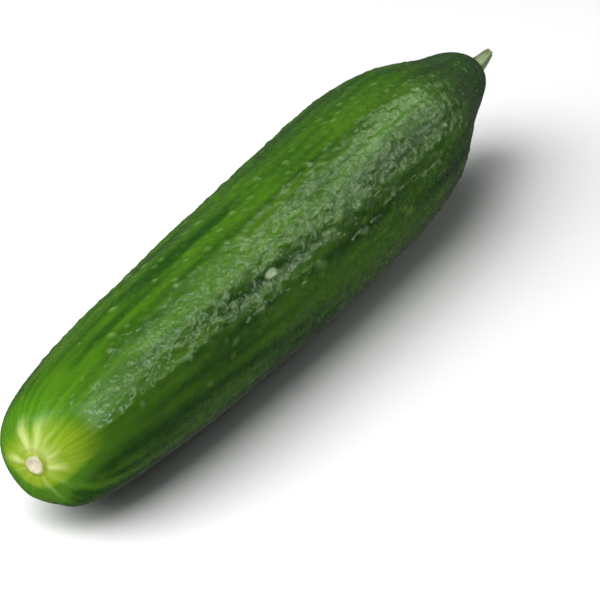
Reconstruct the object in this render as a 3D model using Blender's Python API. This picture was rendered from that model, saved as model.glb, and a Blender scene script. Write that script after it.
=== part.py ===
"""Whole fresh cucumber lying on its side, with the cut stub of its stalk.

X runs along the fruit from the blossom end (-X) to the stalk (+X), Z is up, and the belly
rests on z = 0. Lengths below are in millimetres and angles round the fruit start at the belly.
"""

import math
import random

import bmesh
import bpy
from mathutils import Vector, noise

MM = 0.001
TURN = 2.0 * math.pi

# Outline of the fruit: station x, radius, slope there, handle length before and after it.
LENGTH = 228.6
MAX_RADIUS = 21.0
BLOSSOM = (0.0, 0.0, 14.2)
SHOULDER = (40.0, 17.7, 0.085, 33.0, 21.1)
FULLEST = (154.0, MAX_RADIUS, 0.0, 26.2, 29.6)
NECK = (205.5, 12.8, -0.31, 14.8, 7.8)
FOOT = (LENGTH, 2.8, 6.0)

# Lie of the fruit
PITCH = math.radians(1.0)
BOW = 2.1
NOSE_ASIDE = 0.95
BELLY_FLAT = 0.5

# Mesh of the skin
COLUMNS = 60
RING_STEP = 4.1
BLOSSOM_RINGS = (0.9, 1.7, 2.2, 2.6, 3.1, 4.0, 5.2, 6.8, 8.8, 11.2, 13.8)
FOOT_RINGS = (9.0, 6.6, 4.7, 3.2, 2.0, 1.0, 0.0)
GRID_WANDER = 0.35

# Slow forms of the skin
LOBES = 3
LOBE_DEPTH = 0.012
RIBS = 13
RIB_GROOVE_ANGLE = math.radians(229.0)
RIB_HEIGHT = 0.13
RIB_HEIGHT_STEM = 0.22
TIP_LEAN = 0.5
TIP_LEAN_ANGLE = math.radians(312.8)
SWELL = 0.35
SWELL_LENGTH = 48.0
LUMP = 0.24
LUMP_LENGTH = 13.0
LUMP_WIDTH = 6.5

# Blossom end
SCAR_RADIUS = 2.3
SCAR_RIM = 0.28
SCAR_DISH = 0.15
SCAR_GROOVE = 0.3
RAY_FURROW = 0.32
RAY_REACH = 13.0

# Collar that carries the stalk
COLLAR_LENGTH = 1.2
COLLAR_RADIUS = 2.7

# Warts: share of the faces, width of the flank, height
WART_START = 24.0
WART_END = 218.0
WART_SIZES = ((0.035, 0.75, 0.42), (0.035, 0.85, 0.32))
SMALL_WART_SHARE = 0.24
SMALL_WART_HEIGHTS = (0.16, 0.24, 0.33)
BELLY_FREE_ANGLE = math.radians(14.0)

# Stalk
STALK_GAP = 0.3
STALK_LENGTH = 13.4
STALK_FOOT_RADIUS = 2.7
STALK_RADIUS = 2.35
STALK_TIP_RADIUS = 1.0
STALK_RIDGES = 5
STALK_RIDGE_HEIGHT = 0.2
STALK_RISE = 0.9
STALK_CUT = math.tan(math.radians(34.0))
STALK_COLUMNS = 30
STALK_RINGS = 9


def clear_scene():
    for obj in list(bpy.data.objects):
        bpy.data.objects.remove(obj, do_unlink=True)


def smooth_step(low, high, value):
    """0 below low, 1 above high and a soft ramp between them."""
    share = min(1.0, max(0.0, (value - low) / (high - low)))
    return share * share * (3.0 - 2.0 * share)


def bezier(ends, share):
    """The point at this share of the cubic through four (x, r) control points."""
    a, b, c, d = (Vector(point) for point in ends)
    rest = 1.0 - share
    return (
        rest**3 * a
        + 3.0 * rest**2 * share * b
        + 3.0 * rest * share**2 * c
        + share**3 * d
    )


def outline_pieces():
    """Four cubic pieces from the blossom pole to the foot of the stalk."""
    stations = [SHOULDER, FULLEST, NECK]
    before = []
    after = []
    for x, radius, slope, back, ahead in stations:
        before.append((x - back, radius - slope * back))
        after.append((x + ahead, radius + slope * ahead))
    points = [(x, radius) for x, radius, *_ in stations]
    start = (BLOSSOM[0], BLOSSOM[1])
    end = (FOOT[0], FOOT[1])
    return [
        (start, (BLOSSOM[0], BLOSSOM[2]), before[0], points[0]),
        (points[0], after[0], before[1], points[1]),
        (points[1], after[1], before[2], points[2]),
        (points[2], after[2], (FOOT[0], FOOT[1] + FOOT[2]), end),
    ]


def dense_outline(steps=120):
    points = [Vector(outline_pieces()[0][0])]
    for piece in outline_pieces():
        points += [bezier(piece, (i + 1) / steps) for i in range(steps)]
    return points


class Outline:
    """The outline of the fruit by the distance walked along it from the blossom pole."""

    def __init__(self):
        self.points = dense_outline()
        self.walked = [0.0]
        for here, there in zip(self.points, self.points[1:]):
            self.walked.append(self.walked[-1] + (there - here).length)
        self.total = self.walked[-1]

    def at(self, distance):
        distance = min(self.total, max(0.0, distance))
        low = 0
        high = len(self.walked) - 1
        while high - low > 1:
            middle = (low + high) // 2
            if self.walked[middle] <= distance:
                low = middle
            else:
                high = middle
        span = self.walked[high] - self.walked[low]
        return self.points[low].lerp(self.points[high], (distance - self.walked[low]) / span)

    def normal(self, distance):
        """Unit (x, r) direction that points out of the fruit."""
        along = self.at(distance + 0.4) - self.at(distance - 0.4)
        along.normalize()
        return Vector((-along.y, along.x))


def ring_distances(outline):
    """Where the rings lie: close together at both ends and evenly spread between them."""
    first = BLOSSOM_RINGS[-1]
    last = outline.total - FOOT_RINGS[0]
    count = round((last - first) / RING_STEP)
    even = [first + (last - first) * i / count for i in range(1, count)]
    return [*BLOSSOM_RINGS, *even, *(outline.total - back for back in FOOT_RINGS)]


def rib_wave(angle):
    """Ribs of uneven width round the fruit, between -1 in the grooves and 1 on the ridges."""
    turned = angle - RIB_GROOVE_ANGLE
    return -math.cos(RIBS * turned + 0.35 * math.sin(2.0 * turned) + 0.25 * math.sin(3.0 * turned))


def around(x, angle, length, width, shift):
    """A place in the noise for this point of the skin, without a seam round the fruit."""
    reach = MAX_RADIUS / width
    return Vector((x / length + shift, reach * math.sin(angle), reach * math.cos(angle)))


def off_belly(angle):
    """0 on the belly, where the skin is plain, and 1 away from it."""
    return smooth_step(0.6 * BELLY_FREE_ANGLE, 2.0 * BELLY_FREE_ANGLE, abs(math.remainder(angle, TURN)))


def slow_forms(x, angle):
    """Lobes, ribs, swellings and lumps, as a height over the plain outline."""
    tip = smooth_step(0.0, 4.0, x)
    body = smooth_step(16.0, 40.0, x)
    stem = smooth_step(70.0, 150.0, x)
    end = 1.0 - smooth_step(LENGTH - 14.0, LENGTH - 3.0, x)
    ribs = body * end * (RIB_HEIGHT + (RIB_HEIGHT_STEM - RIB_HEIGHT) * stem) * rib_wave(angle)
    swell = end * SWELL * noise.noise(around(x, angle, SWELL_LENGTH, SWELL_LENGTH, 3.0))
    lump = body * end * LUMP * noise.noise(around(x, angle, LUMP_LENGTH, LUMP_WIDTH, 11.0))
    lobes = tip * end * LOBE_DEPTH * MAX_RADIUS * math.cos(LOBES * angle + 0.9)
    lean = tip * TIP_LEAN * math.exp(-((x / 22.0) ** 2)) * math.cos(angle - TIP_LEAN_ANGLE)
    return off_belly(angle) * (lean + lobes + ribs + swell + lump)


def blossom_forms(distance, angle):
    """Scar, groove round it and furrows between the rays, as a height."""
    if distance > 3.0 * RAY_REACH:
        return 0.0
    fall = math.exp(-(((distance - 4.5) / RAY_REACH * 2.0) ** 2))
    furrows = -RAY_FURROW * fall * smooth_step(2.6, 4.0, distance) * (0.5 - 0.5 * rib_wave(angle))
    rim = SCAR_RIM * math.exp(-(((distance - 0.8 * SCAR_RADIUS) / 0.55) ** 2))
    groove = -SCAR_GROOVE * math.exp(-(((distance - 1.3 * SCAR_RADIUS) / 0.5) ** 2))
    dish = -SCAR_DISH * math.exp(-((distance / 1.2) ** 2))
    return furrows + rim + groove + dish


def axis_point(x):
    """Middle of the fruit at this station: gently bowed, and drawn aside where the stalk grows out."""
    share = x / LENGTH
    nose = smooth_step(LENGTH - 7.0, LENGTH, x)
    aside = -BOW * 4.0 * share * (1.0 - share) - NOSE_ASIDE * nose
    return Vector((x, aside, math.tan(PITCH) * (x - LENGTH / 2.0)))


def skin_point(outline, distance, angle):
    x, radius = outline.at(distance)
    normal = outline.normal(distance)
    height = slow_forms(x, angle) + blossom_forms(distance, angle)
    out = Vector((0.0, math.sin(angle), -math.cos(angle)))
    point = axis_point(x) + (radius + normal.y * height) * out
    point.x += normal.x * height
    return point


def add_ring(mesh, points):
    return [mesh.verts.new(point * MM) for point in points]


def skin_rings(mesh, outline):
    """Rings of skin points, each a little off its even place so that no grid shows."""
    chance = random.Random(7)
    rings = []
    for distance in ring_distances(outline):
        x, radius = outline.at(distance)
        free = smooth_step(16.0, 30.0, x) * (1.0 - smooth_step(200.0, 212.0, x))
        points = []
        for column in range(COLUMNS):
            angle = TURN * column / COLUMNS
            wander = free * smooth_step(0.2, 0.4, abs(math.remainder(angle, TURN)))
            aside = GRID_WANDER * wander * chance.uniform(-1.0, 1.0) / radius
            along = GRID_WANDER * wander * chance.uniform(-1.0, 1.0)
            points.append(skin_point(outline, distance + along, angle + aside))
        rings.append(add_ring(mesh, points))
    return rings


def bridge(mesh, first, second):
    count = len(first)
    faces = []
    for i in range(count):
        j = (i + 1) % count
        faces.append(mesh.faces.new((first[i], first[j], second[j], second[i])))
    return faces


def fan(mesh, ring, centre):
    tip = mesh.verts.new(centre * MM)
    for i, vert in enumerate(ring):
        mesh.faces.new((tip, vert, ring[(i + 1) % len(ring)]))


def collar_rings(mesh):
    """The short round foot on the nose of the fruit that the stalk grows from."""
    rings = []
    for along, radius in ((0.5, COLLAR_RADIUS), (COLLAR_LENGTH, COLLAR_RADIUS)):
        centre = axis_point(LENGTH) + Vector((along, 0.0, 0.0))
        angles = [TURN * i / COLUMNS for i in range(COLUMNS)]
        ring = [centre + radius * Vector((0.0, math.sin(a), -math.cos(a))) for a in angles]
        rings.append(add_ring(mesh, ring))
    return rings


def wart_places(faces, chance):
    """Faces that may carry a wart, in random order: none at the ends or on the belly."""
    places = []
    for face in faces:
        middle = face.calc_center_median() / MM
        lean = middle - axis_point(middle.x)
        angle = abs(math.atan2(lean.y, -lean.z))
        odds = smooth_step(WART_START, WART_START + 26.0, middle.x)
        odds *= 1.0 - 0.85 * smooth_step(WART_END - 34.0, WART_END, middle.x)
        if WART_START < middle.x < WART_END and angle > BELLY_FREE_ANGLE and chance.random() < odds:
            places.append(face)
    chance.shuffle(places)
    return places


def spread(places, count, taken):
    """The first faces of the list that share no edge with a face picked before."""
    picked = []
    for face in places:
        if len(picked) == count:
            break
        near = {other for edge in face.edges for other in edge.link_faces}
        if not near & taken:
            picked.append(face)
            taken.add(face)
    return picked


def raise_warts(mesh, faces):
    chance = random.Random(23)
    places = wart_places(faces, chance)
    taken = set()
    large = [spread(places, round(share * len(places)), taken) for share, _, _ in WART_SIZES]
    small = spread(places, round(SMALL_WART_SHARE * len(places)), taken)
    for group, (_, flank, height) in zip(large, WART_SIZES):
        bmesh.ops.inset_individual(
            mesh, faces=group, thickness=flank * MM, depth=height * MM, use_even_offset=True
        )
    kinds = len(SMALL_WART_HEIGHTS)
    for i, height in enumerate(SMALL_WART_HEIGHTS):
        bmesh.ops.poke(mesh, faces=small[i::kinds], offset=height * MM)


def flatten_belly(mesh):
    """Presses the lowest skin flat, which is the spot the fruit rests on."""
    lowest = min(vert.co.z for vert in mesh.verts)
    floor = lowest + BELLY_FLAT * MM
    for vert in mesh.verts:
        vert.co.z = max(vert.co.z, floor)


def fruit_mesh():
    mesh = bmesh.new()
    outline = Outline()
    rings = skin_rings(mesh, outline)
    skin = []
    for first, second in zip(rings, rings[1:]):
        skin += bridge(mesh, first, second)
    collar = collar_rings(mesh)
    bridge(mesh, rings[-1], collar[0])
    bridge(mesh, collar[0], collar[1])
    pole = axis_point(0.0) + Vector((SCAR_DISH, 0.0, 0.0))
    fan(mesh, rings[0][::-1], pole)
    fan(mesh, collar[1], axis_point(LENGTH) + Vector((COLLAR_LENGTH, 0.0, 0.0)))
    raise_warts(mesh, skin)
    flatten_belly(mesh)
    return mesh


def stalk_radius(share, angle):
    if share < 0.3:
        plain = STALK_FOOT_RADIUS + (STALK_RADIUS - STALK_FOOT_RADIUS) * smooth_step(0.0, 0.3, share)
    else:
        plain = STALK_RADIUS + (STALK_TIP_RADIUS - STALK_RADIUS) * (share - 0.3) / 0.7
    ridges = STALK_RIDGE_HEIGHT * smooth_step(0.0, 0.25, share)
    return plain - ridges * math.cos(STALK_RIDGES * angle)


def stalk_point(share, angle, inset=0.0):
    """A point of the stalk, whose rings lean more and more towards the slanted cut."""
    radius = max(0.0, stalk_radius(share, angle) - inset)
    side = radius * math.sin(angle)
    up = -radius * math.cos(angle)
    slant = STALK_CUT * share**2 * (0.5 * side - 0.85 * up)
    start = axis_point(LENGTH) + Vector((COLLAR_LENGTH + STALK_GAP, 0.0, 0.0))
    rise = STALK_RISE * share**2
    return start + Vector((share * STALK_LENGTH + slant, side, up + rise))


def stalk_mesh():
    mesh = bmesh.new()
    angles = [TURN * i / STALK_COLUMNS for i in range(STALK_COLUMNS)]
    shares = [i / STALK_RINGS for i in range(STALK_RINGS + 1)]
    rings = [add_ring(mesh, [stalk_point(share, a) for a in angles]) for share in shares]
    lip = add_ring(mesh, [stalk_point(1.0, a, 0.35) + Vector((0.12, 0.0, 0.0)) for a in angles])
    for first, second in zip(rings, [*rings[1:], lip]):
        bridge(mesh, first, second)
    start = axis_point(LENGTH) + Vector((COLLAR_LENGTH + STALK_GAP, 0.0, 0.0))
    fan(mesh, rings[0][::-1], start)
    fan(mesh, lip, start + Vector((STALK_LENGTH - 0.3, 0.0, STALK_RISE)))
    return mesh


def principled(name, colour, roughness, coat):
    material = bpy.data.materials.new(name)
    material.use_nodes = True
    shader = material.node_tree.nodes["Principled BSDF"]
    shader.inputs["Base Color"].default_value = (*colour, 1.0)
    shader.inputs["Roughness"].default_value = roughness
    shader.inputs["Coat Weight"].default_value = coat
    return material


def make_object(name, mesh, material):
    mesh.normal_update()
    data = bpy.data.meshes.new(name)
    mesh.to_mesh(data)
    mesh.free()
    data.materials.append(material)
    data.shade_smooth()
    obj = bpy.data.objects.new(name, data)
    bpy.context.scene.collection.objects.link(obj)
    return obj


def stand_on_origin(objects):
    """Centres the footprint on the origin and puts the lowest point at z = 0."""
    corners = [vert.co for obj in objects for vert in obj.data.vertices]
    low = Vector([min(corner[i] for corner in corners) for i in range(3)])
    high = Vector([max(corner[i] for corner in corners) for i in range(3)])
    shift = Vector(((low.x + high.x) / 2.0, (low.y + high.y) / 2.0, low.z))
    for obj in objects:
        for vert in obj.data.vertices:
            vert.co -= shift


clear_scene()
green_skin = principled("green_skin", (0.07, 0.17, 0.025), 0.38, 0.4)
stalk_skin = principled("stalk_skin", (0.3, 0.38, 0.17), 0.6, 0.0)
fruit = make_object("fruit", fruit_mesh(), green_skin)
stalk = make_object("stalk", stalk_mesh(), stalk_skin)
stand_on_origin([fruit, stalk])
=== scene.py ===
import itertools
import math
import random

import bpy
import numpy as np
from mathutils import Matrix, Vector, noise


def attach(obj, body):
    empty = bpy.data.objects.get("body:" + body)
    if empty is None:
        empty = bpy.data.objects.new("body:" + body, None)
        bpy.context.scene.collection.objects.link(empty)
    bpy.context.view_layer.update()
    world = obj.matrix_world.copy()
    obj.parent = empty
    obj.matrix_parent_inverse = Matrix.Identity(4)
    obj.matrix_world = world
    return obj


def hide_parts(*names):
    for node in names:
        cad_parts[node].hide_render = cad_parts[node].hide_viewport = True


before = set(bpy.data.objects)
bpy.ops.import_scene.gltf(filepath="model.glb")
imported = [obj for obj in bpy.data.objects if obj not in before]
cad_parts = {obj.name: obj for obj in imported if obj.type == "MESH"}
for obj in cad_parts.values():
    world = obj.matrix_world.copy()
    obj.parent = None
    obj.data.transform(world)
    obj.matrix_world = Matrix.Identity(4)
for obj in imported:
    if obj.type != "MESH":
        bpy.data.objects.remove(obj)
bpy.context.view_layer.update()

MM = 0.001
TURN = 2.0 * math.pi

# Form of the fruit, in millimetres, as in the solids
LENGTH = 228.6
MAX_RADIUS = 21.0
BLOSSOM = (0.0, 0.0, 14.2)
SHOULDER = (40.0, 17.7, 0.085, 33.0, 21.1)
FULLEST = (154.0, MAX_RADIUS, 0.0, 26.2, 29.6)
NECK = (205.5, 12.8, -0.31, 14.8, 7.8)
FOOT = (LENGTH, 2.8, 6.0)
OUTLINE_STEPS = 400
PITCH = math.radians(1.0)
BOW = 2.1
NOSE_ASIDE = 0.95
BELLY_FLAT = 0.5
BELLY_FREE_ANGLE = math.radians(14.0)
LOBES = 3
LOBE_DEPTH = 0.012
LOBE_TURN = 0.9
RIBS = 13
RIB_GROOVE_ANGLE = math.radians(229.0)
RIB_HEIGHT = 0.13
RIB_HEIGHT_STEM = 0.05
FINE_RIBS = 29
FINE_RIB_HEIGHT = 0.12
CREASE_ANGLE = math.radians(232.0)
CREASE_WIDTH = math.radians(6.5)
CREASE_DEPTH = 0.42
TIP_LEAN = 0.5
TIP_LEAN_ANGLE = math.radians(312.8)
SWELL = 0.35
SWELL_LENGTH = 48.0
LUMP = 0.24
LUMP_LENGTH = 13.0
LUMP_WIDTH = 6.5
SCAR_RADIUS = 2.3
SCAR_RIM = 0.28
SCAR_DISH = 0.15
SCAR_GROOVE = 0.3
RAY_FURROW = 0.18
RAY_REACH = 13.0
COLLAR_LENGTH = 1.2
COLLAR_START = 0.5
COLLAR_RADIUS = 2.7

# From the outline's own zero to the frame: footprint centred, belly on the ground
SHIFT = np.array((121.978, -1.679, -19.997))

# Grid of the skin
COLUMNS = 300
RINGS = 328
FIRST_RING = 0.25
POLE_STEP = 0.3
RING_SPREAD = 1.35

# Warts, of which those drawn at random keep a gap from each other
WART_SEED = 41
WART_TRIES = 26000
WART_GAP = 3.1
WART_CELL = 5.0
WART_START = 17.0
WART_END = 219.0
LARGE_WART_HEIGHT = 0.3
LARGE_WART_STRETCH = 1.4

# Large pale warts: mm from the blossom end, angle from the belly, radius in mm, paleness
PALE_WARTS = (
    (21.0, 242.1, 0.75, 1.0),
    (31.2, 184.6, 1.0, 0.7),
    (25.9, 193.4, 0.8, 0.5),
    (40.5, 237.5, 0.9, 0.7),
    (62.7, 230.6, 1.2, 0.8),
    (56.5, 232.5, 0.9, 0.6),
    (108.0, 228.9, 0.7, 0.8),
    (109.4, 169.8, 0.8, 0.7),
    (119.7, 177.6, 0.9, 0.8),
    (121.2, 191.1, 0.8, 0.8),
    (121.6, 235.5, 1.1, 0.9),
    (134.1, 204.7, 0.9, 0.5),
    (135.5, 235.1, 0.8, 0.7),
    (146.4, 238.1, 0.7, 0.8),
    (154.5, 235.8, 1.1, 0.9),
    (174.3, 237.1, 0.8, 0.9),
    (176.1, 204.6, 0.8, 1.0),
)

# Pale rays at the blossom end: angle from the belly, half width in degrees, length in mm, strength; the rays
# towards the belly are weaker, partly from their own colour and partly as painted shade
RAYS = (
    (88.0, 17.0, 6.0, 0.85),
    (121.0, 6.0, 4.0, 0.3),
    (151.0, 16.0, 9.5, 0.9),
    (182.0, 14.0, 9.5, 0.8),
    (203.0, 7.0, 8.5, 0.6),
    (219.0, 5.0, 7.5, 0.6),
    (233.0, 8.0, 6.0, 0.85),
    (266.0, 14.0, 6.0, 0.95),
    (297.0, 8.0, 9.0, 0.4),
    (327.0, 10.0, 9.0, 0.45),
    (356.0, 9.0, 6.0, 0.3),
    (30.0, 10.0, 6.0, 0.35),
    (57.0, 7.0, 5.0, 0.45),
)

# Dark lines along the body: angle from the belly, half width in degrees, strength
DARK_LINES = (
    (18.0, 5.0, 0.6),
    (44.0, 4.0, 0.5),
    (66.0, 5.0, 0.7),
    (93.0, 4.0, 0.5),
    (118.0, 5.0, 0.6),
    (146.0, 4.5, 0.5),
    (171.0, 4.0, 0.3),
    (194.0, 5.0, 0.7),
    (250.0, 6.0, 0.8),
    (272.0, 5.0, 0.5),
    (301.0, 5.0, 0.6),
    (334.0, 5.0, 0.7),
)

# Places of the colours: angles from the belly, lengths in millimetres
SHOWN_SIDE = math.radians(222.8)
CRISP_SIDE = math.radians(240.0)
# The side where the pale core of the blossom end gets painted light
PAINTED_LIGHT_SIDE = math.radians(205.0)
PALE_SIDE = math.radians(245.0)
GREEN_SIDE = math.radians(138.0)
SPOT_PLACE = 80.4
SPOT_ANGLE = math.radians(229.6)
SPOT_LENGTH = 2.6
SPOT_WIDTH = 1.05
SPOT_ARM = 20.0

# Masks painted on the meshes, up to three to a colour layer, and those that don't end at 0 on the collar
SKIN_LAYERS = {
    "star": ("pale", "streak", "scar"),
    # dome and ring: where the warts get a painted highlight and painted shade; tip: their pale tips
    "wart": ("dome", "ring", "tip"),
    "body": ("near", "band", "stem"),
    "extra": ("rim", "spot", "crisp"),
    # low: painted shade on the lower side and under the belly
    "shade": ("low",),
}
COLLAR_MASKS = {"band": 0.4, "stem": 1.0}
STALK_LAYERS = {"stub": ("ridge", "along", "cut")}

# Stalk
STALK_COLUMNS = 120
STALK_RINGS = 70
STALK_GAP = 0.3
STALK_LENGTH = 13.4
STALK_FOOT_RADIUS = 2.7
STALK_FOOT_SHARE = 0.3
STALK_RADIUS = 2.35
STALK_TIP_RADIUS = 1.0
STALK_RIDGES = 5
STALK_RIDGE_HEIGHT = 0.2
STALK_RISE = 0.9
STALK_CUT = math.tan(math.radians(34.0))
STALK_LIP = 0.4
STALK_DARK_SIDE = math.radians(158.0)

# Lamps and floor, in metres and watts
CENTRE = (0.0, 0.0, 0.0)
PALE_GREEN = (0.87, 1.0, 0.77)
GREENISH = (0.8, 1.0, 0.67)
COOL_GREY = (0.88, 0.97, 0.95)
SOFT_GREY = (0.88, 0.97, 0.93)
PIN_SIZE = (0.13, 0.13)
FLOOR_HALF = 6.0
FLOOR_DROP = 0.00005

# Camera: its target in metres, and how far it is turned off that target, in degrees
PHOTO_PIXELS = 600.0
FOCAL_PIXELS = 3777.0
SENSOR_MM = 36.0
CAMERA_TARGET = Vector((-0.00066, 0.00006, 0.021))
CAMERA_DISTANCE = 0.9
CAMERA_AZIMUTH = -64.09
CAMERA_ELEVATION = 25.16
CAMERA_PAN = -0.16
CAMERA_TILT = 0.984


def smooth_step(low, high, value):
    """0 below low, 1 above high and a soft ramp between them, for numbers or arrays."""
    share = np.clip((np.asarray(value, float) - low) / (high - low), 0.0, 1.0)
    return share * share * (3.0 - 2.0 * share)


def bell(value, width):
    return np.exp(-((np.asarray(value, float) / width) ** 2))


def turn_gap(angle, other):
    """The signed gap between two angles, from -pi to pi."""
    return np.mod(angle - other + math.pi, TURN) - math.pi


def ahead(length):
    """A step of this length along the fruit."""
    return np.array([length, 0.0, 0.0])


def around(angle):
    """Unit vectors out from the fruit's axis, by the angle from its belly."""
    return np.stack([np.zeros_like(angle), np.sin(angle), -np.cos(angle)], -1)


# Outline and relief of the fruit


def outline_pieces():
    stations = [SHOULDER, FULLEST, NECK]
    before = []
    after = []
    for x, radius, slope, back, onward in stations:
        before.append((x - back, radius - slope * back))
        after.append((x + onward, radius + slope * onward))
    points = [(x, radius) for x, radius, *_ in stations]
    return [
        ((0.0, 0.0), (BLOSSOM[0], BLOSSOM[2]), before[0], points[0]),
        (points[0], after[0], before[1], points[1]),
        (points[1], after[1], before[2], points[2]),
        (points[2], after[2], (FOOT[0], FOOT[1] + FOOT[2]), (FOOT[0], FOOT[1])),
    ]


def dense_outline():
    share = np.linspace(0.0, 1.0, OUTLINE_STEPS + 1)[:, None]
    rest = 1.0 - share
    runs = []
    for piece in outline_pieces():
        a, b, c, d = (np.array(point) for point in piece)
        run = rest**3 * a + 3 * rest**2 * share * b + 3 * rest * share**2 * c + share**3 * d
        runs.append(run if not runs else run[1:])
    return np.concatenate(runs)


OUTLINE = dense_outline()
WALKED = np.concatenate([[0.0], np.cumsum(np.linalg.norm(np.diff(OUTLINE, axis=0), axis=1))])
TOTAL = WALKED[-1]


def outline_at(distance):
    return np.interp(distance, WALKED, OUTLINE[:, 0]), np.interp(distance, WALKED, OUTLINE[:, 1])


def outline_normal(distance):
    x0, r0 = outline_at(np.clip(distance - 0.4, 0.0, TOTAL))
    x1, r1 = outline_at(np.clip(distance + 0.4, 0.0, TOTAL))
    size = np.hypot(x1 - x0, r1 - r0)
    return -(r1 - r0) / size, (x1 - x0) / size


def axis_points(x):
    share = x / LENGTH
    nose = smooth_step(LENGTH - 7.0, LENGTH, x)
    y = -BOW * 4.0 * share * (1.0 - share) - NOSE_ASIDE * nose
    return np.stack([x, y, math.tan(PITCH) * (x - LENGTH / 2.0)], -1)


def rib_wave(angle):
    turned = angle - RIB_GROOVE_ANGLE
    return -np.cos(RIBS * turned + 0.35 * np.sin(2.0 * turned) + 0.25 * np.sin(3.0 * turned))


def off_belly(angle):
    return smooth_step(0.6 * BELLY_FREE_ANGLE, 2.0 * BELLY_FREE_ANGLE, np.abs(turn_gap(angle, 0.0)))


def noise_round(x, angle, length, width, shift):
    """Smooth noise over the skin with these grain sizes and no seam round the fruit."""
    reach = MAX_RADIUS / width
    places = np.stack([x / length + shift, reach * np.sin(angle), reach * np.cos(angle)], -1)
    flat = places.reshape(-1, 3)
    values = np.array([noise.noise(Vector(place)) for place in flat.tolist()])
    return values.reshape(x.shape)


def fine_ribs(x, angle):
    """Narrow ribs that wander, and come and go, over the stem half."""
    wander = 3.5 * noise_round(x, angle, 45.0, 20.0, 31.0)
    come = np.clip(0.5 + 1.2 * noise_round(x, angle, 25.0, 7.0, 37.0), 0.0, 1.0)
    return -FINE_RIB_HEIGHT * come * np.cos(FINE_RIBS * angle + wander)


def crease(x, angle):
    """The one deeper furrow beside the pale spot, from 0 off it to 1 along its middle."""
    wander = math.radians(1.2) * np.sin(x / 9.0)
    across = bell(turn_gap(angle, CREASE_ANGLE) + wander, CREASE_WIDTH)
    return across * smooth_step(48.0, 66.0, x) * (1.0 - smooth_step(90.0, 112.0, x))


def slow_forms(x, angle):
    """Ribs, crease, swells, lumps, lobes and the tip's lean, as a height."""
    tip = smooth_step(0.0, 4.0, x)
    body = smooth_step(16.0, 40.0, x)
    stem = smooth_step(70.0, 150.0, x)
    end = 1.0 - smooth_step(LENGTH - 14.0, LENGTH - 3.0, x)
    ribs = body * end * (RIB_HEIGHT + (RIB_HEIGHT_STEM - RIB_HEIGHT) * stem) * rib_wave(angle)
    ribs = ribs + end * smooth_step(50.0, 110.0, x) * fine_ribs(x, angle)
    ribs = ribs - CREASE_DEPTH * crease(x, angle)
    swell = end * SWELL * noise_round(x, angle, SWELL_LENGTH, SWELL_LENGTH, 3.0)
    lump = body * end * LUMP * noise_round(x, angle, LUMP_LENGTH, LUMP_WIDTH, 11.0)
    lobes = tip * end * LOBE_DEPTH * MAX_RADIUS * np.cos(LOBES * angle + LOBE_TURN)
    lean = tip * TIP_LEAN * bell(x, 22.0) * np.cos(angle - TIP_LEAN_ANGLE)
    return off_belly(angle) * (lean + lobes + ribs + swell + lump)


def ray_pattern(distance, angle):
    """Pale rays round the scar, from 0 between them to 1 on them, and a pale core painted lighter on its
    upper side.
    """
    pale = np.zeros_like(angle)
    for middle, half, length, strength in RAYS:
        gap = np.degrees(turn_gap(angle, math.radians(middle)))
        gap = gap + 2.0 * np.sin(distance * 0.9 + middle)
        across = bell(gap, 0.85 * half)
        along = 1.0 - smooth_step(0.2 * length, 1.4 * length, distance - SCAR_RADIUS)
        pale = np.maximum(pale, strength * across * along)
    # Painted light: the pale core round the scar is paler on the upper side, where the light falls
    painted_light = smooth_step(-1.0, 1.0, np.cos(angle - PAINTED_LIGHT_SIDE))
    core = 0.6 * (1.0 - smooth_step(3.5, 9.0, distance)) * painted_light
    return np.maximum(pale, core) * smooth_step(0.9 * SCAR_RADIUS, 1.35 * SCAR_RADIUS, distance)


def blossom_forms(distance, pale):
    """Scar, groove round it and furrows between the rays, as a height."""
    fall = bell(distance - 4.5, RAY_REACH / 2.0)
    furrows = -RAY_FURROW * fall * smooth_step(2.6, 4.0, distance) * (1.0 - pale)
    rim = SCAR_RIM * bell(distance - 0.8 * SCAR_RADIUS, 0.55)
    groove = -SCAR_GROOVE * bell(distance - 1.3 * SCAR_RADIUS, 0.5)
    dish = -SCAR_DISH * bell(distance, 1.2)
    return furrows + rim + groove + dish


# Warts, each as distance along the outline, angle, radius, height, stretch, turn and paleness


def cell_of(place):
    return tuple(int(v // WART_CELL) for v in place)


def crowded(cells, place, gap):
    """True where a wart already placed is nearer than this gap."""
    sides = [(v - 1, v, v + 1) for v in cell_of(place)]
    near = (other for cell in itertools.product(*sides) for other in cells.get(cell, ()))
    return any(math.dist(place, other) < gap for other in near)


def large_warts():
    warts = []
    for x, turned, size, pale in PALE_WARTS:
        distance = float(np.interp(x, OUTLINE[:, 0], WALKED))
        form = (size, LARGE_WART_HEIGHT, LARGE_WART_STRETCH, 0.0, pale)
        warts.append((distance, math.radians(turned), *form))
    return warts


def draw_wart(chance, distance, angle, sparse):
    size = chance.uniform(0.55, 0.9) if chance.random() < 0.8 else chance.uniform(0.9, 1.3)
    size *= 1.0 - 0.3 * sparse
    height = size * chance.uniform(0.11, 0.26) * (1.0 - 0.45 * sparse)
    pale = chance.uniform(0.4, 1.0) if chance.random() < 0.1 else 0.0
    stretch = chance.uniform(1.4, 2.3)
    return distance, angle, size, height, stretch, chance.uniform(-0.35, 0.35), pale


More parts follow.
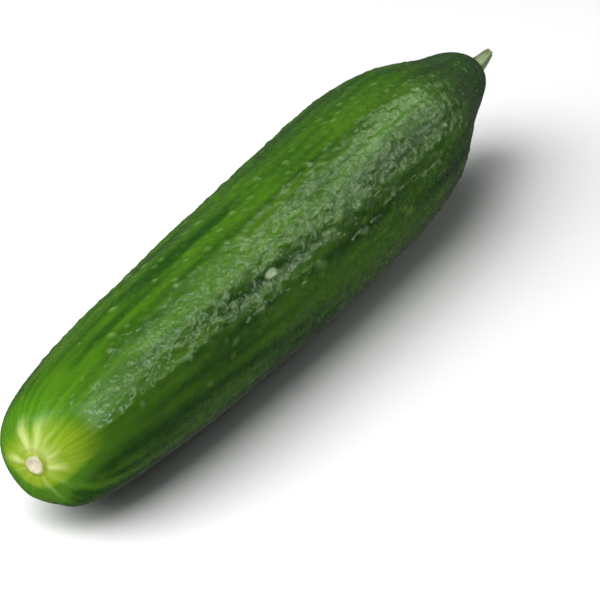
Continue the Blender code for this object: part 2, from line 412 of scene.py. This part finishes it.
def random_warts():
    """Warts all over the body, fewer, smaller and flatter towards its ends than along its middle."""
    chance = random.Random(WART_SEED)
    cells = {}
    warts = []
    for _ in range(WART_TRIES):
        distance = chance.uniform(14.0, TOTAL - 6.0)
        angle = chance.uniform(0.0, TURN)
        x, radius = (float(v) for v in outline_at(distance))
        if not WART_START < x < WART_END:
            continue
        sparse = float(smooth_step(WART_START, 60.0, x)) * (1.0 - float(smooth_step(196.0, 216.0, x)))
        sparse = 1.0 - sparse
        gap = WART_GAP * (1.0 + 0.7 * sparse) * chance.choice((0.75, 1.0, 1.3))
        place = (distance, radius * math.sin(angle), radius * math.cos(angle))
        if crowded(cells, place, gap):
            continue
        cells.setdefault(cell_of(place), []).append(place)
        warts.append(draw_wart(chance, distance, angle, sparse))
    return warts


def add_warts(distances, angles):
    """Height of all warts on the grid, masks of their domes and rings for a painted highlight and painted
    shade, and of their pale tips.
    """
    height = np.zeros((len(distances), len(angles)))
    dome = np.zeros_like(height)
    ring = np.zeros_like(height)
    tip = np.zeros_like(height)
    for distance, angle, size, tall, stretch, turn, pale in large_warts() + random_warts():
        radius = float(outline_at(distance)[1])
        reach = 3.2 * size * stretch
        rows = np.flatnonzero(np.abs(distances - distance) < reach)
        gaps = turn_gap(angles, angle) * radius
        columns = np.flatnonzero(np.abs(gaps) < reach)
        onward = (distances[rows] - distance)[:, None]
        aside = gaps[columns][None]
        along = (onward * math.cos(turn) + aside * math.sin(turn)) / stretch
        away = np.hypot(along, aside * math.cos(turn) - onward * math.sin(turn)) / size
        place = np.ix_(rows, columns)
        calm = off_belly(angles[columns])[None]
        bump = bell(away, 0.85) + 0.35 * bell(away, 0.3)
        moat = bell(away - 1.45, 0.5)
        height[place] += calm * tall * (bump - 0.22 * moat)
        dome[place] = np.maximum(dome[place], bell(away, 0.8))
        ring[place] = np.maximum(ring[place], moat)
        tip[place] = np.maximum(tip[place], pale * bell(away, 0.7))
    return height, {"dome": dome, "ring": ring * (1.0 - dome), "tip": tip}


# Meshes


def make_mesh(name, points, faces):
    mesh = bpy.data.meshes.new(name)
    mesh.from_pydata((np.asarray(points) * MM).tolist(), [], [tuple(face) for face in faces])
    mesh.shade_smooth()
    obj = bpy.data.objects.new(name, mesh)
    bpy.context.scene.collection.objects.link(obj)
    return obj


def paint(obj, layers, masks):
    """Stores masks from 0 to 1, three to a colour attribute."""
    for name, parts in layers.items():
        colours = np.zeros((len(obj.data.vertices), 4), np.float32)
        colours[:, 3] = 1.0
        for column, part in enumerate(parts):
            colours[:, column] = np.clip(masks[part], 0.0, 1.0)
        layer = obj.data.color_attributes.new(name, "FLOAT_COLOR", "POINT")
        layer.data.foreach_set("color", colours.ravel())


def tube_faces(rows, columns):
    """Quads of a tube of rings, facing outward, and its end rings in the order for cap_faces."""
    i, j = np.meshgrid(np.arange(rows - 1), np.arange(columns), indexing="ij")
    k = (j + 1) % columns
    ring = i * columns
    onward = (i + 1) * columns
    quads = np.stack([ring + j, ring + k, onward + k, onward + j], -1).reshape(-1, 4).tolist()
    first = list(range(columns))[::-1]
    last = [(rows - 1) * columns + column for column in range(columns)]
    return quads, first, last


def cap_faces(ring, centre):
    """Triangles that close an end ring round its centre."""
    count = len(ring)
    return [(centre, ring[i], ring[(i + 1) % count]) for i in range(count)]


def ring_distances():
    """Rings close together at the blossom scar and wider apart over the body."""
    share = np.linspace(0.0, 1.0, RINGS)
    dense = POLE_STEP * RINGS
    spread = dense * share + (TOTAL - dense) * share**RING_SPREAD
    return FIRST_RING + (TOTAL - FIRST_RING) * spread / spread[-1]


def collar_rings(angles):
    foot = axis_points(np.array(LENGTH))
    return [foot + ahead(along) + COLLAR_RADIUS * around(angles) for along in (COLLAR_START, COLLAR_LENGTH)]


def settled(points):
    """The points moved to the frame, with the belly cut flat on the ground."""
    points[:, 2] = np.maximum(points[:, 2], points[:, 2].min() + BELLY_FLAT)
    points = points - SHIFT
    points[:, 2] = np.maximum(points[:, 2], 0.0)
    return points


def build_skin():
    distances = ring_distances()
    angles = np.arange(COLUMNS) * TURN / COLUMNS
    d, a = np.meshgrid(distances, angles, indexing="ij")
    x, radius = outline_at(d)
    normal_x, normal_r = outline_normal(d)
    pale = ray_pattern(d, a)
    bumps, wart_masks = add_warts(distances, angles)
    height = slow_forms(x, a) + blossom_forms(d, pale) + bumps
    points = axis_points(x) + (radius + normal_r * height)[..., None] * around(a)
    points[..., 0] += normal_x * height
    pole = axis_points(np.array(0.0)) + ahead(SCAR_DISH)
    foot = axis_points(np.array(LENGTH)) + ahead(COLLAR_LENGTH)
    every = np.concatenate([points.reshape(-1, 3), *collar_rings(angles), pole[None], foot[None]])
    rows = RINGS + 2
    quads, first, last = tube_faces(rows, COLUMNS)
    faces = quads + cap_faces(first, rows * COLUMNS) + cap_faces(last, rows * COLUMNS + 1)
    obj = make_mesh("skin", settled(every), faces)
    masks = {"pale": pale, **wart_masks, **blossom_masks(d, a), **body_masks(d, a)}
    every_mask = {name: padded(mask, COLLAR_MASKS.get(name, 0.0)) for name, mask in masks.items()}
    paint(obj, SKIN_LAYERS, every_mask)
    return obj


def padded(values, fill):
    """A grid mask with values for the collar and the two cap centres added."""
    return np.concatenate([values.ravel(), np.full(2 * COLUMNS, fill), [values[0, 0], fill]])


def line_pattern(x, angle):
    """Dark lines along the body, from 0 between them to 1 on them, each coming and going, and painted shade
    along the crease.
    """
    dark = np.zeros_like(angle)
    for middle, half, strength in DARK_LINES:
        wander = 3.0 * np.sin(x / 31.0 + middle) + 1.5 * np.sin(x / 13.0 + 2.0 * middle)
        gap = np.degrees(turn_gap(angle, math.radians(middle))) + wander
        fade = 0.7 + 0.3 * np.sin(x / 22.0 + 3.0 * middle)
        dark = np.maximum(dark, strength * fade * bell(gap, half))
    # The crease is painted dark too: painted shade in its furrow
    return np.maximum(dark, crease(x, angle))


def blossom_masks(d, a):
    """How near the blossom end is, its fine streaks, its scar and the rim round it."""
    x = outline_at(d)[0]
    streak = 0.6 * noise_round(x, a, 70.0, 1.1, 5.0)
    streak = streak + 0.4 * noise_round(x, a, 26.0, 0.55, 9.0) * smooth_step(6.0, 15.0, d)
    reach = 1.22 - 0.42 * bell(turn_gap(a, PALE_SIDE), 0.9) + 0.45 * bell(turn_gap(a, GREEN_SIDE), 0.8)
    ragged = d + 0.12 * np.sin(3.0 * a + 1.0) + 0.07 * np.sin(7.0 * a)
    return {
        "near": 1.0 - smooth_step(2.0, 62.0, d * reach),
        "streak": 0.5 + 0.9 * streak * smooth_step(1.0, 9.0, d),
        "scar": 1.0 - smooth_step(0.7 * SCAR_RADIUS, 1.04 * SCAR_RADIUS, ragged),
        "rim": bell(d - SCAR_RADIUS * 1.3, 0.45),
    }


def body_masks(d, a):
    """Painted shade on the lower side, bright bands, stem end, pale spot, and where the relief is crisp."""
    x, radius = outline_at(d)
    aside = radius * np.sin(a - SHOWN_SIDE)
    # low is painted shade: darker on the lower side, away from the light, and under the belly near the
    # blossom end
    low = smooth_step(4.8, 13.2, aside) * (1.0 - smooth_step(320.0, 355.0, np.degrees(a)))
    low = np.maximum(low, 0.4 * smooth_step(0.0, 0.8, np.cos(a)) * smooth_step(3.5, 9.0, d))
    band = 0.75 - 0.8 * line_pattern(x, a) + 0.5 * noise_round(x, a, 60.0, 8.0, 21.0)
    band = band + 0.55 * noise_round(x, a, 34.0, 2.6, 25.0)
    # Painted shade: the body near the blossom end is darker on its lower side
    band = band - 0.5 * low * (1.0 - smooth_step(12.0, 48.0, x))
    spot_gap = np.hypot((x - SPOT_PLACE) / SPOT_LENGTH, turn_gap(a, SPOT_ANGLE) * SPOT_ARM / SPOT_WIDTH)
    crisp = 0.2 + 0.8 * smooth_step(0.5, 0.82, np.cos(a - CRISP_SIDE))
    crisp = crisp * (1.0 - 0.85 * smooth_step(3.6, 5.8, aside) * (1.0 - smooth_step(52.0, 72.0, x)))
    return {
        "low": low,
        "band": band,
        "stem": smooth_step(168.0, 224.0, x),
        "spot": 1.0 - smooth_step(0.75, 1.05, spot_gap),
        "crisp": crisp,
    }


def stalk_rings(share, angle):
    """Points of the ridged stalk, from its foot to its slanting cut."""
    foot = STALK_FOOT_RADIUS + (STALK_RADIUS - STALK_FOOT_RADIUS) * smooth_step(0.0, STALK_FOOT_SHARE, share)
    onward = np.clip((share - STALK_FOOT_SHARE) / (1.0 - STALK_FOOT_SHARE), 0.0, 1.0)
    plain = foot + (STALK_TIP_RADIUS - STALK_RADIUS) * onward
    ridges = -STALK_RIDGE_HEIGHT * smooth_step(0.0, 0.25, share) * np.cos(STALK_RIDGES * angle)
    fibre = 0.05 * np.sin(23.0 * angle + 2.0 * share) + 0.04 * np.sin(41.0 * angle - 3.0 * share)
    radius = plain + ridges + fibre - STALK_LIP * smooth_step(0.93, 1.0, share) ** 2
    side = radius * np.sin(angle)
    up = -radius * np.cos(angle)
    slant = STALK_CUT * share**2 * (0.5 * side - 0.85 * up)
    x = share * STALK_LENGTH + slant
    return np.stack([x, side, up + STALK_RISE * share**2], -1).reshape(-1, 3)


def stalk_masks(share, angle):
    """Dark ridges, the way along the stalk and its cut, for the rings, the two ends and their centres."""
    ridge = 0.5 - 0.5 * np.cos(STALK_RIDGES * angle)
    dark_side = 1.1 * bell(turn_gap(angle, STALK_DARK_SIDE), 0.75)
    ones = np.ones(STALK_COLUMNS)
    dark = np.maximum(0.75 * ridge, dark_side)
    cut = smooth_step(0.97, 1.0, share)
    return {
        "ridge": np.concatenate([ridge[0], dark.ravel(), 0.3 * ones, [0.3, 0.3]]),
        "along": np.concatenate([0.0 * ones, share.ravel(), ones, [1.0, 0.0]]),
        "cut": np.concatenate([0.0 * ones, cut.ravel(), ones, [1.0, 0.0]]),
    }


def build_stalk():
    turns = np.arange(STALK_COLUMNS) * TURN / STALK_COLUMNS
    share, angle = np.meshgrid(np.linspace(0.0, 1.0, STALK_RINGS), turns, indexing="ij")
    points = stalk_rings(share, angle)
    base = points[:STALK_COLUMNS] - ahead(STALK_GAP + 0.05)
    middle = np.array([STALK_LENGTH, 0.0, STALK_RISE])
    inner = middle + 0.55 * (points[-STALK_COLUMNS:] - middle) - ahead(0.25)
    hubs = [middle - ahead(0.35), -ahead(0.35)]
    start = axis_points(np.array(LENGTH)) + ahead(COLLAR_LENGTH + STALK_GAP)
    every = np.concatenate([base, points, inner, hubs]) + start - SHIFT
    rows = STALK_RINGS + 2
    quads, first, last = tube_faces(rows, STALK_COLUMNS)
    hub = rows * STALK_COLUMNS
    obj = make_mesh("stalk_stub", every, quads + cap_faces(last, hub) + cap_faces(first, hub + 1))
    paint(obj, STALK_LAYERS, stalk_masks(share, angle))
    return obj


# Materials


def linear(red, green, blue):
    """A colour as the eye names it, from 0 to 255, as linear light."""
    return tuple((v / 255.0) ** 2.2 for v in (red, green, blue)) + (1.0,)


def skin_tone(red, green, blue):
    """A colour of the lit skin, as the albedo that gives it under lamps that turn the floor white."""
    return tuple(0.66 * v for v in linear(red, green, blue)[:3]) + (1.0,)


class Nodes:
    """Short calls for the nodes of one material."""

    def __init__(self, name):
        self.material = bpy.data.materials.new(name)
        self.material.use_nodes = True
        self.tree = self.material.node_tree
        self.shader = self.tree.nodes["Principled BSDF"]
        self.place = self.new("ShaderNodeTexCoord").outputs["Object"]

    def new(self, kind, **settings):
        node = self.tree.nodes.new(kind)
        for name, value in settings.items():
            setattr(node, name, value)
        return node

    def put(self, socket, value):
        if isinstance(value, bpy.types.NodeSocket):
            self.tree.links.new(value, socket)
        else:
            socket.default_value = value

    def masks(self, layers):
        """The painted masks, by name."""
        found = {}
        for layer, names in layers.items():
            colour = self.new("ShaderNodeAttribute", attribute_name=layer).outputs["Color"]
            parts = self.new("ShaderNodeSeparateColor")
            self.put(parts.inputs[0], colour)
            found.update(zip(names, parts.outputs))
        return found

    def along(self):
        """The way along the object's X axis, in metres."""
        parts = self.new("ShaderNodeSeparateXYZ")
        self.put(parts.inputs[0], self.place)
        return parts.outputs[0]

    def math(self, operation, first, second=0.0, clamp=False):
        node = self.new("ShaderNodeMath", operation=operation, use_clamp=clamp)
        self.put(node.inputs[0], first)
        self.put(node.inputs[1], second)
        return node.outputs[0]

    def times(self, first, *others):
        for other in others:
            first = self.math("MULTIPLY", first, other)
        return first

    def remap(self, value, low, high, start=0.0, end=1.0):
        node = self.new("ShaderNodeMapRange", clamp=True, interpolation_type="SMOOTHSTEP")
        self.put(node.inputs[0], value)
        for socket, number in zip(node.inputs[1:5], (low, high, start, end)):
            socket.default_value = number
        return node.outputs[0]

    def mix(self, share, first, second):
        node = self.new("ShaderNodeMix", data_type="RGBA", clamp_factor=True)
        self.put(node.inputs["Factor"], share)
        self.put(node.inputs[6], first)
        self.put(node.inputs[7], second)
        return node.outputs[2]

    def noise(self, scale, stretch=(1.0, 1.0, 1.0), detail=3.0, roughness=0.5, shift=0.0):
        mapping = self.new("ShaderNodeMapping")
        self.put(mapping.inputs["Vector"], self.place)
        mapping.inputs["Scale"].default_value = stretch
        mapping.inputs["Location"].default_value = (shift, shift, shift)
        node = self.new("ShaderNodeTexNoise")
        self.put(node.inputs["Vector"], mapping.outputs[0])
        node.inputs["Scale"].default_value = scale
        node.inputs["Detail"].default_value = detail
        node.inputs["Roughness"].default_value = roughness
        return node.outputs[0]

    def bump(self, height, distance, under=None, strength=1.0):
        node = self.new("ShaderNodeBump")
        self.put(node.inputs["Height"], height)
        node.inputs["Distance"].default_value = distance
        node.inputs["Strength"].default_value = strength
        if under is not None:
            self.put(node.inputs["Normal"], under)
        return node.outputs[0]

    def finish(self, colour, roughness, normal, **constants):
        self.put(self.shader.inputs["Base Color"], colour)
        self.put(self.shader.inputs["Roughness"], roughness)
        self.put(self.shader.inputs["Normal"], normal)
        for name, value in constants.items():
            self.shader.inputs[name.replace("_", " ")].default_value = value
        return self.material


def body_colour(n, m, mottle):
    """Dark green broken by brighter bands, patches and fine lines, cooler towards the stem."""
    patch = n.noise(75.0, (0.2, 1.0, 1.0), 3.0, 0.55)
    tone = n.math("ADD", n.times(m["band"], 0.65), n.times(patch, 0.5))
    colour = n.mix(n.remap(tone, 0.32, 0.85), skin_tone(44, 90, 14), skin_tone(84, 138, 24))
    colour = n.mix(n.remap(mottle, 0.45, 0.75, 0.0, 0.18), colour, skin_tone(86, 134, 38))
    lines = n.noise(240.0, (0.035, 1.0, 1.0), 2.0, 0.55, 13.0)
    colour = n.mix(n.remap(lines, 0.5, 0.7, 0.0, 0.55), colour, skin_tone(102, 150, 26))
    colour = n.mix(n.remap(lines, 0.5, 0.32, 0.0, 0.5), colour, skin_tone(36, 82, 26))
    return n.mix(n.remap(m["stem"], 0.1, 1.0, 0.0, 0.75), colour, skin_tone(48, 100, 40))


def blossom_colour(n, m, colour, mottle):
    """From grass green to yellow green with fine streaks, pale rays and the cream scar, with painted shade
    on its lower side.
    """
    # lit is the blossom end's nearness, cut down by the painted shade on the lower side
    lit = n.times(m["near"], n.remap(m["low"], 0.0, 1.0, 1.0, 0.3))
    grass = n.mix(n.remap(m["streak"], 0.2, 0.85), skin_tone(74, 128, 22), skin_tone(92, 146, 30))
    colour = n.mix(n.remap(lit, 0.28, 0.85), colour, grass)
    lime = n.mix(n.remap(m["streak"], 0.2, 0.8), skin_tone(130, 168, 27), skin_tone(158, 188, 47))
    colour = n.mix(n.remap(lit, 0.87, 1.0), colour, lime)
    colour = n.mix(n.remap(m["pale"], 0.1, 1.0, 0.0, 0.8), colour, skin_tone(222, 236, 146))
    colour = n.mix(n.times(m["rim"], 0.55), colour, skin_tone(176, 178, 60))
    cream = n.mix(n.remap(mottle, 0.4, 0.65), skin_tone(224, 210, 182), skin_tone(238, 232, 204))
    return n.mix(m["scar"], colour, cream)


def wart_colour(n, m, colour):
    """Painted shade in rings round the warts, painted highlights on their domes, pale tips, and the one pale
    spot.
    """
    share = n.remap(m["near"], 0.45, 0.85, 1.0, 0.3)
    # Painted shade in the moat round each wart
    colour = n.mix(n.times(m["ring"], 0.25, share), colour, skin_tone(30, 70, 14))
    # Painted highlight on each wart's dome
    colour = n.mix(n.times(m["dome"], 0.15, share), colour, skin_tone(110, 150, 60))
    colour = n.mix(n.times(m["tip"], 0.7, share), colour, skin_tone(150, 186, 104))
    return n.mix(m["spot"], colour, skin_tone(206, 228, 178))


def wrinkles(n, m, grain):
    """Wavy wrinkles in patches, strongest on the upper side of the blossom half."""
    wave = n.noise(330.0, (0.62, 1.0, 1.0), 1.5, 0.45, 7.0)
    crest = n.math("ABSOLUTE", n.math("SUBTRACT", wave, 0.5))
    return n.times(
        n.remap(crest, 0.0, 0.15, 1.0, 0.0),
        n.remap(grain, 0.4, 0.6, 0.25, 1.0),
        n.remap(m["near"], 0.8, 0.94, 1.0, 0.0),
        n.remap(n.along(), -0.055, 0.01, 1.0, 0.4),
        n.remap(m["stem"], 0.0, 0.8, 1.0, 0.25),
        m["crisp"],
        n.remap(m["low"], 0.0, 0.8, 1.0, 0.15),
    )


def skin_relief(n, m):
    """The mild relief of the skin and the strong one of its wet film, drawn out along the fruit."""
    grain = n.noise(150.0, (0.55, 1.0, 1.0), 1.0, 0.5, 1.0)
    pebble = n.noise(330.0, (0.6, 1.0, 1.0), 2.0, 0.5, 5.0)
    wrinkle = wrinkles(n, m, grain)
    body = n.times(n.remap(m["near"], 0.84, 0.98, 1.0, 0.12), m["crisp"])
    body = n.times(body, n.remap(m["stem"], 0.3, 1.0, 1.0, 0.45))
    grain = n.times(grain, body)
    pebble = n.times(pebble, body)
    furrow = n.times(n.noise(250.0, (0.06, 1.0, 1.0), 2.0, 0.5, 11.0), n.remap(n.along(), -0.05, 0.03))
    skin = n.bump(pebble, 0.0002, n.bump(grain, 0.0005))
    film = n.bump(furrow, 0.0023, n.bump(pebble, 0.0012, n.bump(grain, 0.0025)))
    return skin, n.bump(wrinkle, 0.0008, film)


def skin_material():
    n = Nodes("cucumber_skin")
    m = n.masks(SKIN_LAYERS)
    mottle = n.noise(420.0, (0.7, 1.0, 1.0), 3.0, 0.6, 3.0)
    colour = wart_colour(n, m, blossom_colour(n, m, body_colour(n, m, mottle), mottle))
    rough = n.math("ADD", n.remap(mottle, 0.3, 0.7, 0.2, 0.33), n.times(m["scar"], 0.35), clamp=True)
    relief, film = skin_relief(n, m)
    n.put(n.shader.inputs["Coat Normal"], film)
    return n.finish(
        colour,
        rough,
        relief,
        Coat_Weight=0.6,
        Specular_IOR_Level=0.2,
        Coat_Roughness=0.08,
        Coat_IOR=1.45,
        Subsurface_Weight=0.06,
        Subsurface_Scale=0.002,
    )


def stalk_material():
    n = Nodes("cucumber_stalk")
    m = n.masks(STALK_LAYERS)
    fibre = n.noise(900.0, (0.12, 1.0, 1.0), 3.0, 0.6)
    blotch = n.noise(260.0, (0.6, 1.0, 1.0), 2.0, 0.5, 4.0)
    colour = n.mix(n.remap(m["ridge"], 0.15, 1.0), linear(156, 184, 116), linear(52, 64, 24))
    colour = n.mix(n.remap(m["along"], 0.3, 0.0, 0.0, 0.7), colour, linear(74, 90, 54))
    colour = n.mix(n.remap(fibre, 0.35, 0.7, 0.0, 0.5), colour, linear(182, 196, 160))
    colour = n.mix(n.remap(blotch, 0.5, 0.75, 0.0, 0.45), colour, linear(84, 96, 44))
    colour = n.mix(n.remap(m["along"], 0.75, 1.0, 0.0, 0.5), colour, linear(150, 150, 108))
    colour = n.mix(m["cut"], colour, linear(178, 176, 134))
    relief = n.bump(fibre, 0.00025, strength=0.8)
    return n.finish(colour, n.remap(blotch, 0.3, 0.7, 0.5, 0.68), relief, Sheen_Weight=0.1)


def floor_material():
    n = Nodes("floor_paper")
    grain = n.noise(9.0, detail=2.0)
    colour = n.mix(n.remap(grain, 0.3, 0.7), (0.86, 0.86, 0.86, 1.0), (0.89, 0.89, 0.89, 1.0))
    relief = n.bump(n.noise(400.0, detail=1.0), 0.00002, strength=0.3)
    return n.finish(colour, 0.9, relief, Specular_IOR_Level=0.0)


# Stage, light and camera


def add_floor():
    corners = [(-1, -1, 0), (1, -1, 0), (1, 1, 0), (-1, 1, 0)]
    floor = make_mesh("floor", FLOOR_HALF * np.array(corners) / MM, [(0, 1, 2, 3)])
    floor.location.z = -FLOOR_DROP
    floor.data.materials.append(floor_material())
    floor.visible_glossy = False


def add_area(name, place, aim, size, power):
    """A soft rectangular lamp that faces a point."""
    data = bpy.data.lights.new(name, "AREA")
    data.shape = "RECTANGLE"
    data.size, data.size_y = size
    data.energy = power
    light = bpy.data.objects.new(name, data)
    light.location = place
    light.rotation_euler = (Vector(aim) - Vector(place)).to_track_quat("-Z", "Y").to_euler()
    bpy.context.scene.collection.objects.link(light)
    return light


def add_lamp(name, place, size, power, aim):
    """A white lamp for the shading, left out of the mirrored light."""
    light = add_area(name, place, aim, size, power)
    light.visible_glossy = False


def add_card(name, place, size, power, aim=CENTRE, tint=PALE_GREEN, turn=0.0):
    """A tinted card for the mirrored light, left out of the shading."""
    light = add_area(name, place, aim, size, power)
    light.data.color = tint
    light.rotation_euler.z += math.radians(turn)
    light.visible_diffuse = False
    return light


def add_lights():
    add_lamp("key", (-0.8, 0.5, 1.15), (1.8, 1.8), 48.0, CENTRE)
    add_card("key_glow", (-0.75, 0.75, 1.05), (0.9, 0.9), 3.5)
    back = add_card("back_card", (1.2, -0.36, 0.95), (1.25, 1.2), 1.5, (0.0, -0.36, 0.95), GREENISH)
    back.data.shape = "ELLIPSE"
    add_card("spark_card", (1.15, -0.3, 0.82), (0.6, 0.5), 2.0, tint=GREENISH)
    add_card("curl_card", (0.75, -0.78, 0.9), (0.5, 0.42), 1.3)
    add_card("low_card", (1.2, -0.55, 0.3), (0.6, 0.35), 0.55, tint=GREENISH)
    add_card("side_card", (0.1, -1.5, 1.3), (1.05, 0.95), 16.5, (0.1, 0.0, 1.3), COOL_GREY)
    add_card("top_card", (0.16, -0.85, 1.6), (1.15, 1.2), 21.0, (0.16, -0.85, 0.0), SOFT_GREY, -40.0)
    add_card("crown_card", (1.15, -0.1, 1.55), (0.6, 0.5), 1.4)
    add_card("near_pin", (0.9, -0.95, 1.15), PIN_SIZE, 0.6)
    add_card("far_pin", (1.2, -0.7, 0.66), PIN_SIZE, 0.55)
    add_lamp("end_fill", (-1.3, 0.5, 0.35), (0.6, 0.5), 3.0, (-0.1, 0.0, 0.02))
    add_lamp("stem_fill", (1.3, -0.5, 0.5), (0.5, 0.5), 2.5, (0.1, 0.0, 0.02))


def add_world():
    world = bpy.data.worlds.new("studio")
    world.use_nodes = True
    back = world.node_tree.nodes["Background"]
    back.inputs["Color"].default_value = (0.97, 0.985, 1.0, 1.0)
    back.inputs["Strength"].default_value = 0.06
    bpy.context.scene.world = world


def direction(azimuth, elevation):
    a, e = math.radians(azimuth), math.radians(elevation)
    return Vector((math.sin(a) * math.cos(e), -math.cos(a) * math.cos(e), math.sin(e)))


def add_camera():
    data = bpy.data.cameras.new("camera")
    data.sensor_width = SENSOR_MM
    data.lens = SENSOR_MM * FOCAL_PIXELS / PHOTO_PIXELS
    data.clip_start = 0.05
    camera = bpy.data.objects.new("camera", data)
    camera.location = CAMERA_TARGET + CAMERA_DISTANCE * direction(CAMERA_AZIMUTH, CAMERA_ELEVATION)
    look = -direction(CAMERA_AZIMUTH + CAMERA_PAN, CAMERA_ELEVATION + CAMERA_TILT)
    camera.rotation_euler = look.to_track_quat("-Z", "Y").to_euler()
    bpy.context.scene.collection.objects.link(camera)
    bpy.context.scene.camera = camera


def dress(piece, material, node):
    """Gives the piece its material and puts it in place of a node of the frame."""
    piece.data.materials.append(material)
    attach(piece, "root")
    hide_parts(node)


add_camera()
add_world()
add_floor()
add_lights()
dress(build_skin(), skin_material(), "fruit")
dress(build_stalk(), stalk_material(), "stalk")
bpy.context.scene.view_settings.view_transform = "Standard"
